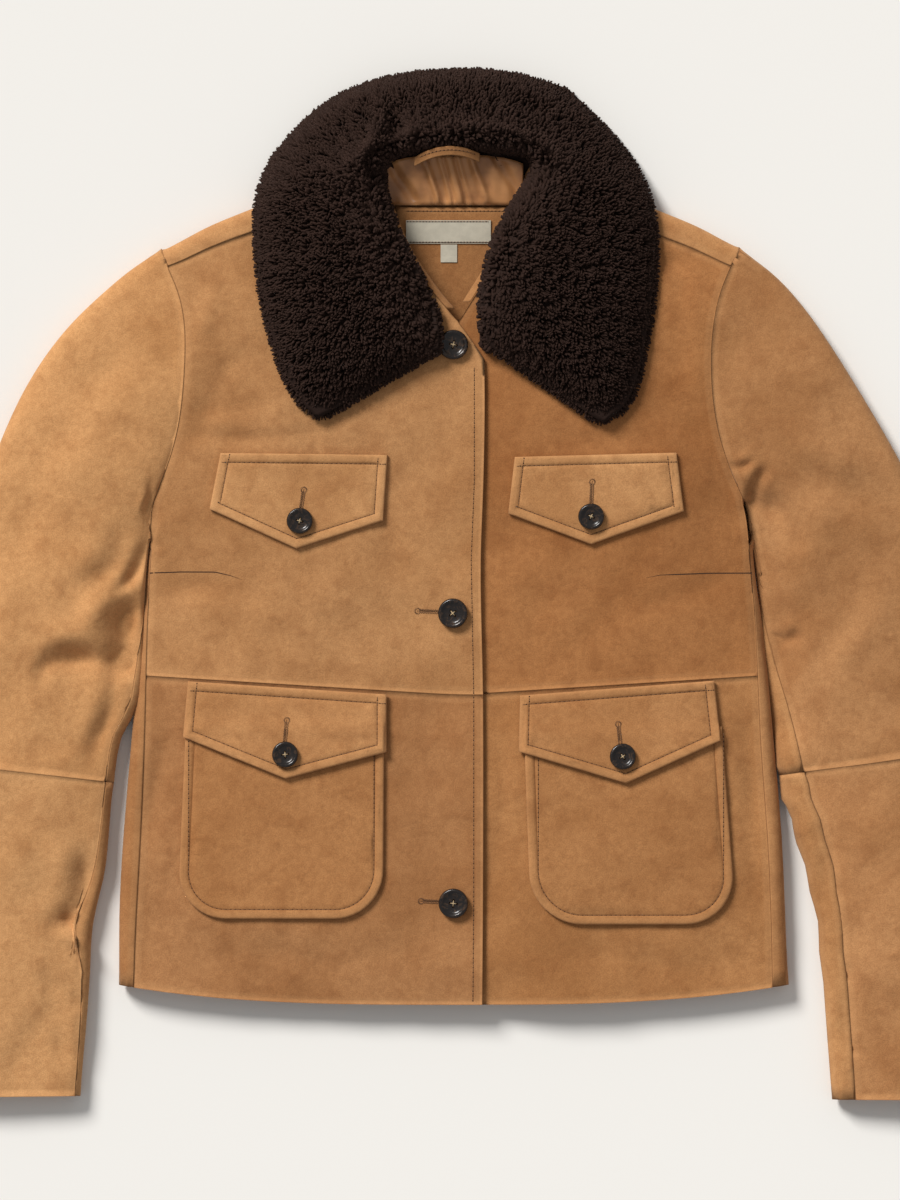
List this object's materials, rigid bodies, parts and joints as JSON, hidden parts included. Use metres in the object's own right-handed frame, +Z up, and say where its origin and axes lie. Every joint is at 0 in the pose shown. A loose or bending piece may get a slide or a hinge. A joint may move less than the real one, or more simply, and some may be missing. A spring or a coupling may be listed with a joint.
{
  "type": "suede jacket",
  "caption": "Waist-length suede jacket with a dark shearling collar, chest flaps, patch pockets and a buttoned front, laid flat on its back.",
  "frame": {"origin": "centre of the jacket's box on the surface it lies on", "axes": "+X towards the wearer's left sleeve, +Y towards the collar, +Z up from the surface, out of the jacket's front"},
  "size_m": [0.7761, 0.724, 0.0514],
  "materials": {
    "suede": "napped suede",
    "fur": "curly shearling pile",
    "satin": "gathered satin",
    "woven_label": "woven tape",
    "button": "polished horn look"
  },
  "bodies": {
    "root": {"back": "suede", "right_front_upper": "suede", "right_front_lower": "suede", "right_top_sleeve": "suede", "right_under_sleeve": "suede", "right_top_forearm": "suede", "right_under_forearm": "suede", "right_chest_flap": "suede", "right_pocket": "suede", "right_pocket_flap": "suede", "right_neck_band": "suede", "left_front_upper": "suede", "left_front_lower": "suede", "left_top_sleeve": "suede", "left_under_sleeve": "suede", "left_top_forearm": "suede", "left_under_forearm": "suede", "left_chest_flap": "suede", "left_pocket": "suede", "left_pocket_flap": "suede", "left_neck_band": "suede", "under_collar": "suede", "back_facing": "suede", "hanger_loop": "suede", "fur_collar": "fur", "neck_stand": "satin", "neck_label": "woven_label", "size_tab": "woven_label", "front_button_top": "button", "front_button_middle": "button", "front_button_bottom": "button", "right_chest_button": "button", "left_chest_button": "button", "right_pocket_button": "button", "left_pocket_button": "button"}
  },
  "joints": []
}
